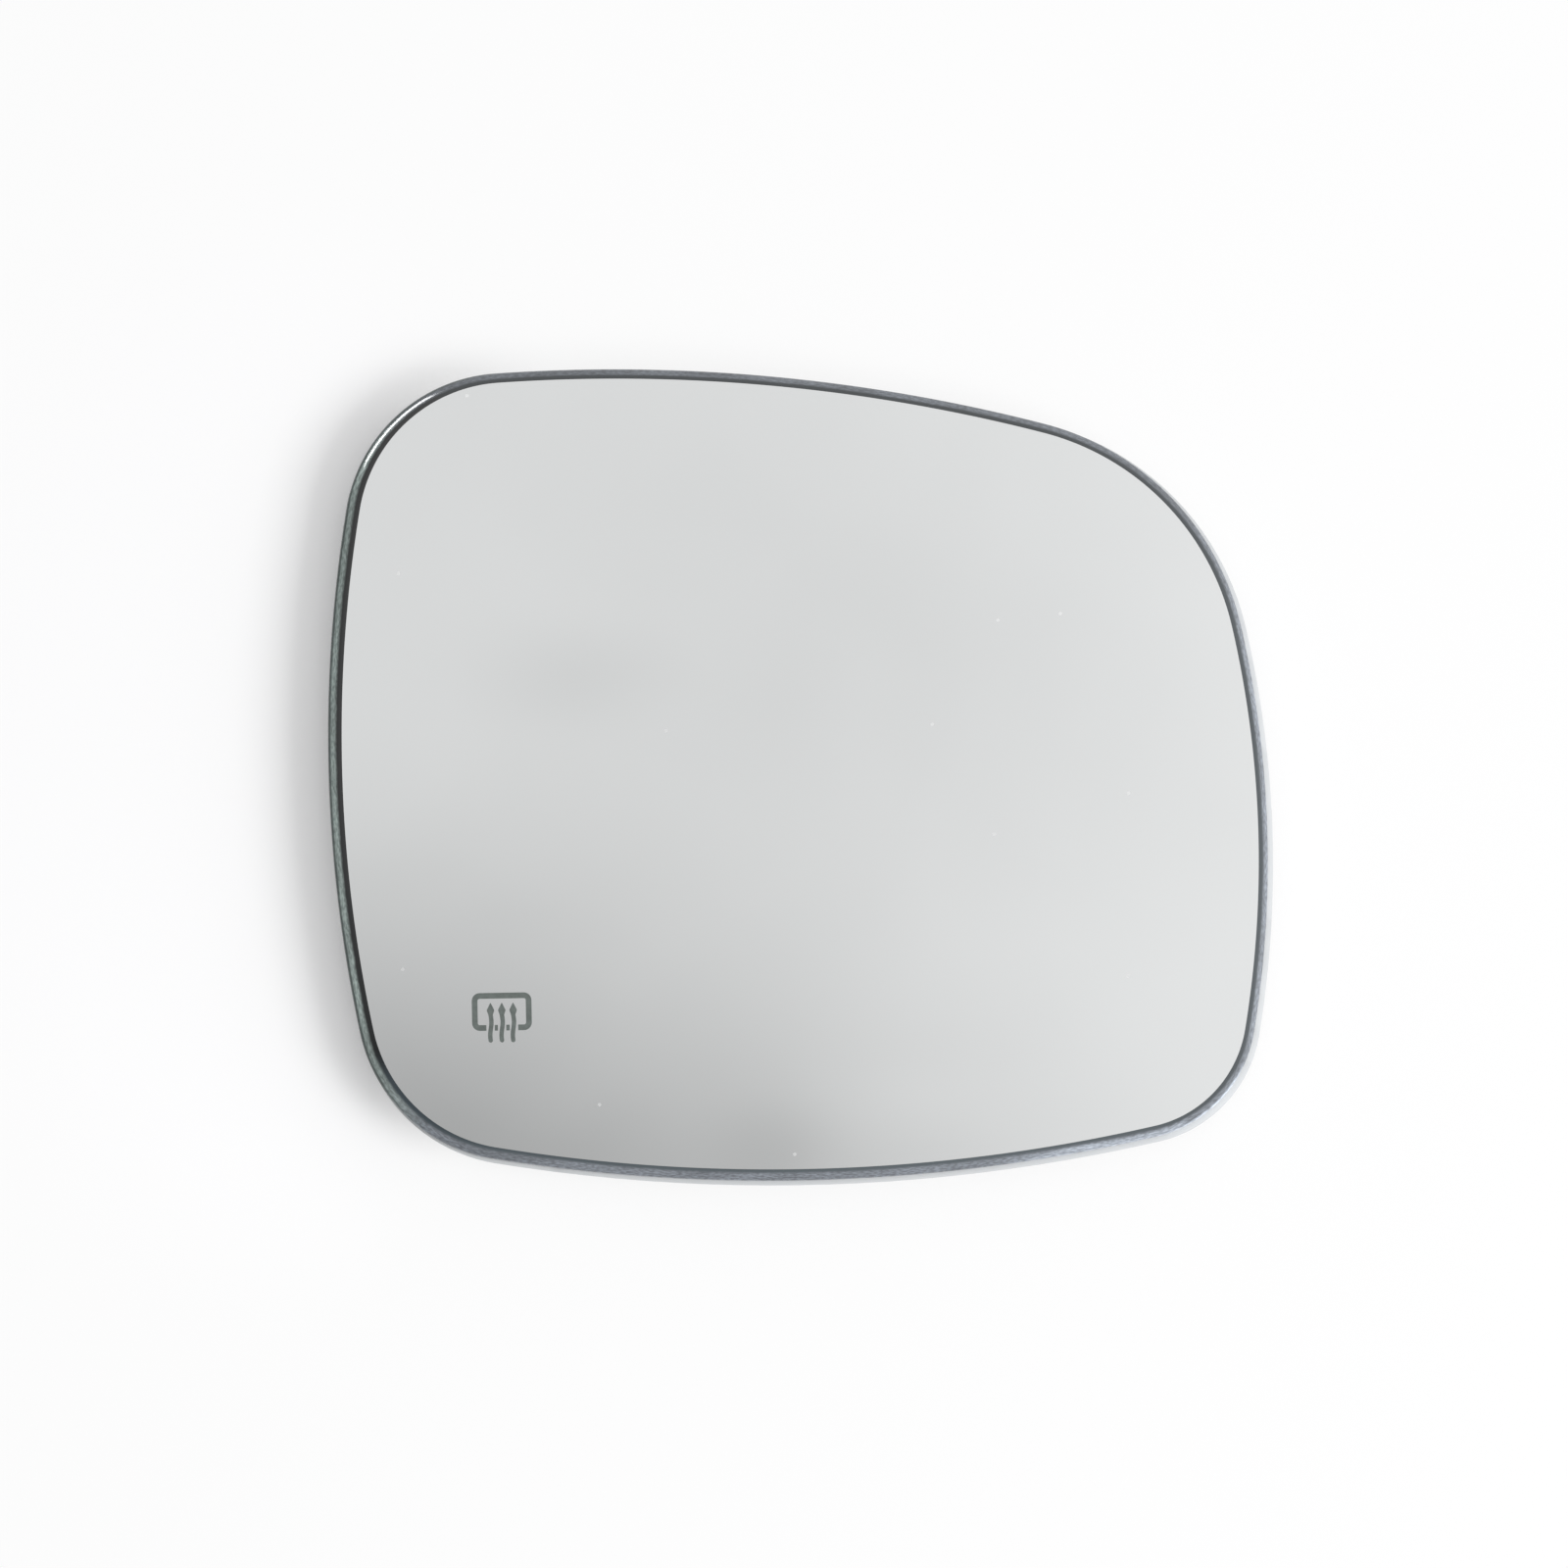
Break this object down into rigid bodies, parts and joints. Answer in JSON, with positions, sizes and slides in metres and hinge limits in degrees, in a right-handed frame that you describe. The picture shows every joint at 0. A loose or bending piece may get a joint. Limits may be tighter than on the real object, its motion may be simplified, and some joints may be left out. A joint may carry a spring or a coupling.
{
  "type": "car door mirror glass",
  "caption": "Heated convex door mirror glass on a moulded backing plate with a clip ring and two terminals for the heater.",
  "frame": {"origin": "centre of the clip ring, on the plane on which the ring stands when the glass lies face up", "axes": "+Z the way the mirror looks, +X to the right and +Y up for someone who looks at the mirror"},
  "size_m": [0.1904, 0.1646, 0.0147],
  "materials": {
    "mirror_glass": "silvered behind, polished face, ground and polished edge",
    "heater_film": "printed film",
    "foam_tape": "closed-cell foam tape",
    "tab_brass": "stamped sheet",
    "plate_plastic": "fine moulded texture"
  },
  "bodies": {
    "root": {"mirror_glass": "mirror_glass", "heater_pad": "heater_film", "foam_sheet": "foam_tape", "heater_terminals": "tab_brass", "terminal_rivets": "tab_brass", "backing_plate": "plate_plastic"}
  },
  "joints": []
}
